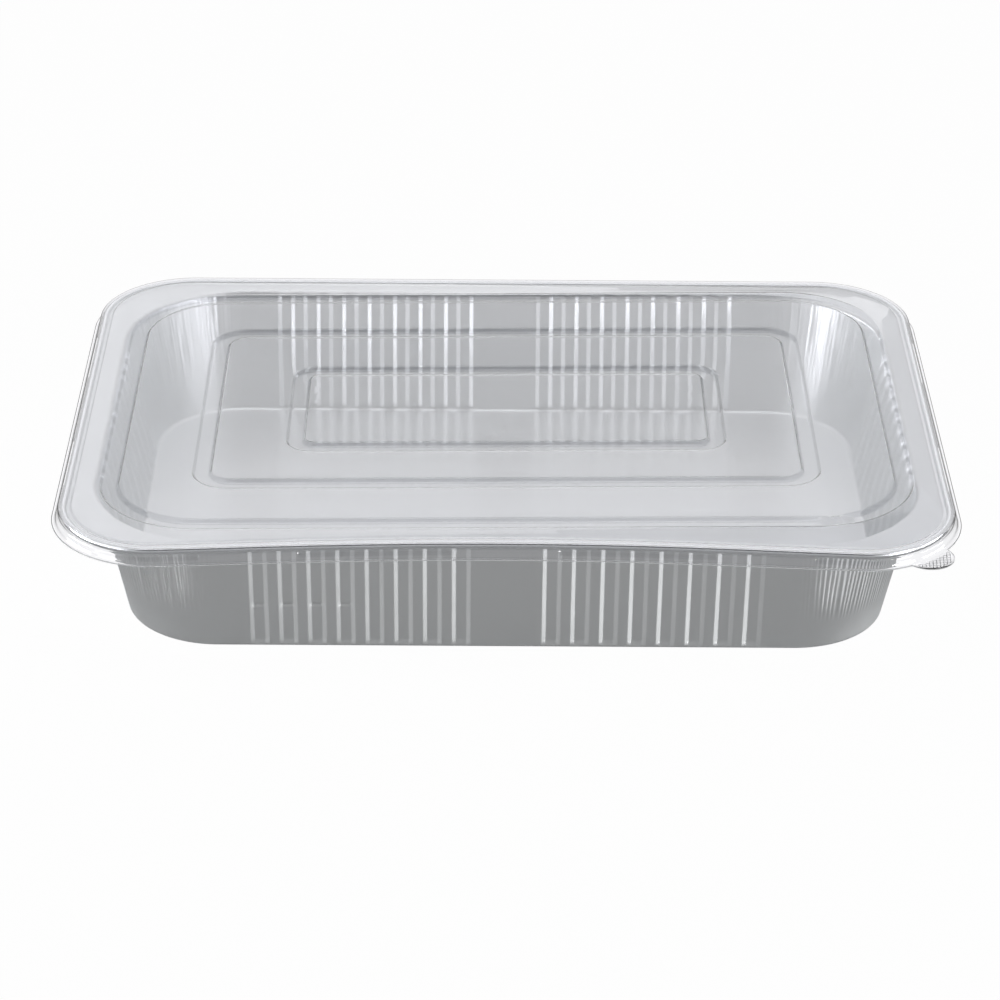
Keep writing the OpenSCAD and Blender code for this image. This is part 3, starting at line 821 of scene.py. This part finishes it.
# %% Lay the plain lid
def tab_reach(column):
    """How far the tab stands out beyond the lip along a column."""
    if column_side(column) not in (3, 0) or column.corner < 0 or column.facing[1] > 0:
        return 0.0
    turn = math.radians(column.corner - TAB_TURN)
    if abs(turn) >= math.radians(tab_span) or column.facing[0] < 0:
        return 0.0
    edge = tab_middle * math.cos(turn) + math.sqrt(TAB_RADIUS**2 - (tab_middle * math.sin(turn)) ** 2)
    return edge - lip_corner


tabs = np.array([tab_reach(c) for c in lid_columns])
beads = np.array([1.0 if c.corner >= 0 else bead_share(column_side(c), c.along) for c in lid_columns])
ones = np.ones(len(lid_columns))
lid_values = {
    "from_groove": ([r.from_groove for r in lid_ring_list], ones, NO_GROOVE),
    "beaded": ([r.beaded for r in lid_ring_list], beads, 0.0),
    "bowed": ([r.bowed for r in lid_ring_list], ones, 0.0),
    "tilted": ([r.tilted for r in lid_ring_list], ones, 1.0),
    "tab": ([r.tab for r in lid_ring_list], tabs, 0.0),
}
lid_mesh = lay_sheet("lid_plain", lid_columns, lid_ring_list, lid_values)

# %% [markdown]
# ## Forming the lid
# Soft sheet takes the shape of its mould: grooves that stiffen the panel, and beads in the skirt. The tree
# sinks each point by its distance from a groove's middle line. Near the right corner the front groove has
# buckled, which is one smooth dip in the groove's depth, since a real buckle has no sharp edge either.

# %% Tree that forms the lid
BUCKLE_PLACE, BUCKLE_REACH, BUCKLE_SHARE = (121.0, -97.0, 53.0), 10.0, 1.2

tree = new_tree("form_the_lid", {
    "Groove width": GROOVE_WIDTH, "Groove slant": GROOVE_SLANT, "Groove depth": GROOVE_DEPTH,
    "Bead depth": SNAP_DEPTH, "Tilt in 100 mm": PANEL_TILT,
    "Buckle reach": BUCKLE_REACH, "Buckle share": BUCKLE_SHARE},
    {"Buckle place": "Vector", "Plastic": "Material"})
given, stored, facing, place, axes = open_press(
    tree, ("from_groove", "beaded", "tilted", "tab"))

half = add(tree, "ShaderNodeMath", {0: given["Groove width"], 1: 0.5}, operation="MULTIPLY")
foot = add(tree, "ShaderNodeMath", {0: half, 1: given["Groove slant"]}, operation="SUBTRACT")
in_groove = add(tree, "ShaderNodeMapRange", {
    "Value": stored["from_groove"], "From Min": foot, "From Max": half, "To Min": 1.0, "To Max": 0.0})
sunk = add(tree, "ShaderNodeMath", {0: in_groove, 1: given["Groove depth"]}, operation="MULTIPLY")
away = add(tree, "ShaderNodeVectorMath", {0: place, 1: given["Buckle place"]}, operation="DISTANCE")
left = add(tree, "ShaderNodeMath", {0: 1.0, 1: given["Buckle share"]}, operation="SUBTRACT")
buckle = add(tree, "ShaderNodeMapRange", {
    "Value": away.outputs["Value"], "From Max": given["Buckle reach"], "To Min": left, "To Max": 1.0},
    interpolation_type="SMOOTHSTEP")
sunk = add(tree, "ShaderNodeMath", {0: sunk, 1: buckle}, operation="MULTIPLY")
rise = axes["X"]
for factor in (0.01, given["Tilt in 100 mm"], stored["tilted"]):
    rise = add(tree, "ShaderNodeMath", {0: rise, 1: factor}, operation="MULTIPLY")
lift = add(tree, "ShaderNodeMath", {0: rise, 1: sunk}, operation="SUBTRACT")
upward = add(tree, "ShaderNodeCombineXYZ", {"Z": lift})
bead = add(tree, "ShaderNodeMath", {0: stored["beaded"], 1: given["Bead depth"]}, operation="MULTIPLY")
outward = add(tree, "ShaderNodeMath", {0: stored["tab"], 1: bead}, operation="SUBTRACT")
outward = add(tree, "ShaderNodeVectorMath", {0: facing, "Scale": outward}, operation="SCALE")
offset = add(tree, "ShaderNodeVectorMath", {0: outward, 1: upward}, operation="ADD")
formed = add(tree, "GeometryNodeSetPosition", {"Geometry": given["Geometry"], "Offset": offset})
close_press(tree, formed, given["Plastic"])
lid_press = tree
print("lid press:", len(tree.nodes), "nodes")

# %% [markdown]
# ## Clear plastic
# The lid is PET sheet, clear and glossy on both sides. Its index of refraction of 1.57 makes it a faint
# mirror where it is met head on and a strong one towards grazing. A plain see-through shader would lose the
# bends: true refraction draws a light and a dark line along each of them. Light from the lamps passes
# straight through, because so thin a sheet hardly dims it. The sheet's cut edge is pale and opaque: partly
# the frosting that the knife leaves, partly a painted highlight for the light that a clear sheet carries to
# its edge.

# %% Plastic material
PET_INDEX = 1.57

plastic, tree = new_material("clear_PET")
rays = add(tree, "ShaderNodeLightPath").outputs
glassy = add(tree, "ShaderNodeBsdfPrincipled", {
    "Base Color": hex_colour("FAFAFC"), "Transmission Weight": 1.0, "IOR": PET_INDEX, "Roughness": 0.02})
clear = add(tree, "ShaderNodeBsdfTransparent", {"Color": hex_colour("F4F4F6")})
film = add(tree, "ShaderNodeMixShader", {
    0: rays["Is Shadow Ray"], 1: glassy, 2: clear})
add(tree, "ShaderNodeOutputMaterial", {"Surface": film})
print("plastic:", len(tree.nodes), "nodes")

# Cut edge: an opaque pale matt surface, partly knife frosting and partly a painted highlight for the edge's
# glow.
edge_frost_and_glow, tree = new_material("cut_edge_of_PET")
edge_frost_and_glow_bsdf = add(tree, "ShaderNodeBsdfPrincipled", {
    "Base Color": hex_colour("F4F6F8"), "Roughness": 0.5, "IOR": PET_INDEX})
add(tree, "ShaderNodeOutputMaterial", {"Surface": edge_frost_and_glow_bsdf})
lid_mesh.materials.append(plastic)
lid_mesh.materials.append(edge_frost_and_glow)

# %% [markdown]
# ## The formed lid
# The lid is made from its plain sheet in the same steps as the tray, and takes the place of the imported lid.
# The faces round its edge carry the second material, for the cut, whose pale colour is partly a painted
# highlight.

# %% Form the lid
lid = press_sheet("clear_lid", lid_mesh, lid_press, FILM, {"Plastic": plastic, "Buckle place": BUCKLE_PLACE})
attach(lid, "lid")
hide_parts("lid")

# %% [markdown]
# ## The grip on the pull tab
# The tab is embossed with a crossed pattern of fine ridges, so that a finger doesn't slip on it. A grid gives
# both sets of ridges at once: its faces go, what lies off the tab goes, and a thin rod follows each edge.

# %% Ridges on the tab
RIDGES, RIDGE_PITCH, RIDGE_RADIUS = 15, 1.3, 0.16
TAB_MARGIN = 0.5

tree = new_tree("hatch_the_tab", {
    "Pitch": RIDGE_PITCH, "Ridge radius": RIDGE_RADIUS, "Tab radius": TAB_RADIUS - TAB_MARGIN,
    "Lip radius": lip_corner + TAB_MARGIN, "Tab middle": tab_middle}, {"Plastic": "Material"})
given = add(tree, "NodeGroupInput").outputs
width = add(tree, "ShaderNodeMath", {0: given["Pitch"], 1: RIDGES - 1.0}, operation="MULTIPLY")
grid = add(tree, "GeometryNodeMeshGrid", {
    "Size X": width, "Size Y": width, "Vertices X": RIDGES, "Vertices Y": RIDGES})
bare = add(tree, "GeometryNodeDeleteGeometry", {"Geometry": grid}, domain="FACE", mode="ONLY_FACE")
shift = add(tree, "ShaderNodeCombineXYZ", {"X": given["Tab middle"]})
turned = add(tree, "GeometryNodeTransform", {
    "Geometry": bare, "Translation": shift, "Rotation": (0.0, 0.0, math.pi / 4)})
place = add(tree, "GeometryNodeInputPosition").outputs["Position"]
from_tab = add(tree, "ShaderNodeVectorMath", {0: place, 1: shift}, operation="DISTANCE")
from_corner = add(tree, "ShaderNodeVectorMath", {0: place}, operation="LENGTH")
off_tab = add(tree, "ShaderNodeMath", {
    0: from_tab.outputs["Value"], 1: given["Tab radius"]}, operation="GREATER_THAN")
on_lip = add(tree, "ShaderNodeMath", {
    0: from_corner.outputs["Value"], 1: given["Lip radius"]}, operation="LESS_THAN")
outside = add(tree, "ShaderNodeMath", {0: off_tab, 1: on_lip}, operation="MAXIMUM")
kept = add(tree, "GeometryNodeDeleteGeometry", {
    "Geometry": turned, "Selection": outside}, domain="POINT")
ridge_lines = add(tree, "GeometryNodeMeshToCurve", {"Mesh": kept})
section = add(tree, "GeometryNodeCurvePrimitiveCircle", {"Resolution": 6, "Radius": given["Ridge radius"]})
ridges = add(tree, "GeometryNodeCurveToMesh", {
    "Curve": ridge_lines, "Profile Curve": section, "Fill Caps": True})
real = add(tree, "GeometryNodeRealizeInstances", {"Geometry": ridges})
finished = add(tree, "GeometryNodeSetMaterial", {"Geometry": real, "Material": given["Plastic"]})
add(tree, "NodeGroupOutput", {"Geometry": finished})

blank = pressed_blank("tab_ridges", bpy.data.meshes.new("tab_ridges_plain"), tree, {"Plastic": plastic})
tab_direction = math.radians(TAB_TURN - 90)
corner_middle = Vector((core_half[0], -core_half[1], lip_z))
onto_tab = Matrix.Translation(corner_middle) @ Matrix.Rotation(tab_direction, 4, "Z")
tab_ridges = settled(blank, "tab_ridges", Matrix.Scale(MM, 4) @ onto_tab)
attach(tab_ridges, "lid")

# %% [markdown]
# ## The floor
# The container stands on plain white paper. At a plain level of light matt paper looks grey, so what the
# camera sees of it, straight or through the lid, is mostly a glow of white. The foil mirrors the matt paper,
# which keeps its walls a calm grey, and the paper keeps the container's soft shadow.

# %% Floor
FLOOR_HALF = 4.0
UNDER_TRAY = 0.0002
GLOW, SEEN_GLOW, MIRRORED_GLOW = 1.075, 0.9, 0.1

floor_mesh = bpy.data.meshes.new("floor")
corners = [(x * FLOOR_HALF, y * FLOOR_HALF, 0) for x, y in ((-1, -1), (1, -1), (1, 1), (-1, 1))]
floor_mesh.from_pydata(corners, [], [(0, 1, 2, 3)])
floor = placed("floor", floor_mesh)
floor.location.z = -UNDER_TRAY
paper, tree = new_material("white_paper")
rays = add(tree, "ShaderNodeLightPath").outputs
matt = add(tree, "ShaderNodeBsdfDiffuse", {"Color": hex_colour("A8A8A8")})
glow = add(tree, "ShaderNodeEmission", {"Color": hex_colour("FFFFFF"), "Strength": GLOW})
unmirrored = add(tree, "ShaderNodeMath", {0: rays["Glossy Depth"], 1: 0.5}, operation="LESS_THAN")
through = add(tree, "ShaderNodeMath", {0: rays["Is Transmission Ray"], 1: unmirrored}, operation="MULTIPLY")
seen = add(tree, "ShaderNodeMath", {0: rays["Is Camera Ray"], 1: through}, operation="MAXIMUM")
seen = add(tree, "ShaderNodeMath", {0: seen, 1: SEEN_GLOW}, operation="MULTIPLY")
mirrored = add(tree, "ShaderNodeMath", {0: rays["Is Glossy Ray"], 1: MIRRORED_GLOW}, operation="MULTIPLY")
share = add(tree, "ShaderNodeMath", {0: seen, 1: mirrored}, operation="MAXIMUM")
mixed = add(tree, "ShaderNodeMixShader", {0: share, 1: matt, 2: glow})
add(tree, "ShaderNodeOutputMaterial", {"Surface": mixed})
floor_mesh.materials.append(paper)
print("paper:", len(tree.nodes), "nodes; the floor is", 2 * FLOOR_HALF, "m wide")

# %% [markdown]
# ## The room around it
# Satin metal and clear sheet show mostly what stands around them. Mirrored and refracted rays find a pale
# room that is lighter towards the ceiling, with one darker place high up in front. That place draws the dark
# sides of the grooves and the dark line along the rolled rim.

# %% World
ROOM_LOW, ROOM_HIGH, ROOM_LIGHT = 0.62, 0.8, 0.3
DARK_PLACE, DARK_RIM, DARK_CORE, DARK_LEVEL = (0.0, -0.69, 0.72), 0.84, 0.95, 0.05

world = bpy.data.worlds.new("studio")
bpy.context.scene.world = world
world.use_nodes = True
tree = world.node_tree
tree.nodes.clear()
rays = add(tree, "ShaderNodeLightPath").outputs
seen = add(tree, "ShaderNodeMath", {
    0: rays["Is Glossy Ray"], 1: rays["Is Transmission Ray"]}, operation="MAXIMUM")
direction = add(tree, "ShaderNodeTexCoord").outputs["Generated"]
axes = add(tree, "ShaderNodeSeparateXYZ", {"Vector": direction}).outputs
room = add(tree, "ShaderNodeMapRange", {
    "Value": axes["Z"], "From Min": 0.3, "From Max": 0.9, "To Min": ROOM_LOW, "To Max": ROOM_HIGH})
ahead = add(tree, "ShaderNodeVectorMath", {0: direction, 1: DARK_PLACE}, operation="DOT_PRODUCT")
unlit = add(tree, "ShaderNodeMapRange", {
    "Value": ahead.outputs["Value"], "From Min": DARK_RIM, "From Max": DARK_CORE,
    "To Min": 1.0, "To Max": DARK_LEVEL})
room = add(tree, "ShaderNodeMath", {0: room, 1: unlit}, operation="MULTIPLY")
strength = add(tree, "ShaderNodeMapRange", {"Value": seen, "To Min": ROOM_LIGHT, "To Max": room})
sky = add(tree, "ShaderNodeBackground", {"Color": hex_colour("FFFFFF"), "Strength": strength})
add(tree, "ShaderNodeOutputWorld", {"Surface": sky})
print("room:", len(tree.nodes), "nodes")

# %% [markdown]
# ## The softboxes
# A wide box behind the container lights its floor and flange by reflection, and one overhead evens the floor
# from front to back. The flanks of the flutes mirror the low boxes in front. The right one is the stronger,
# so each flute has one bright line and one faint one. The side boxes light the end walls.

# %% Lamps
def softbox(name, place, aim, width, height, power):
    data = bpy.data.lights.new(name, "AREA")
    data.shape = "RECTANGLE"
    data.size, data.size_y, data.energy = width, height, power
    lamp = placed(name, data)
    lamp.location = place
    lamp.rotation_euler = (Vector(aim) - Vector(place)).to_track_quat("-Z", "Y").to_euler()


softbox("back_box", (0, 1.6, 0.74), (0, 0, 0.05), 1.24, 0.95, 1.7)
softbox("top_box", (0, -0.05, 1.35), (0, 0, 0.05), 1.0, 0.45, 1.5)
softbox("right_low", (0.85, -0.72, 0.09), (0, -0.12, 0.03), 0.45, 0.16, 3.2)
softbox("left_low", (-0.85, -0.72, 0.09), (0, -0.12, 0.03), 0.45, 0.16, 0.6)
softbox("right_side", (0.9, -0.1, 0.09), (0, -0.1, 0.03), 0.5, 0.2, 1.4)
softbox("left_side", (-0.9, -0.1, 0.09), (0, -0.1, 0.03), 0.5, 0.2, 4.2)
softbox("right_high", (0.9, -0.62, 0.45), (0, 0.1, 0.03), 0.25, 0.5, 0.8)
softbox("left_high", (-0.9, -0.60, 0.45), (0, 0.1, 0.03), 0.6, 0.5, 0.8)
print("softboxes:", len(bpy.data.lights))

# %% [markdown]
# ## Bounces and view
# Light has to pass through several layers of sheet and off the foil between them, which sets the number of
# bounces.

# %% Bounces and view
scene = bpy.context.scene
scene.view_settings.view_transform = "Standard"
scene.cycles.transparent_max_bounces = 16
scene.cycles.max_bounces = 8
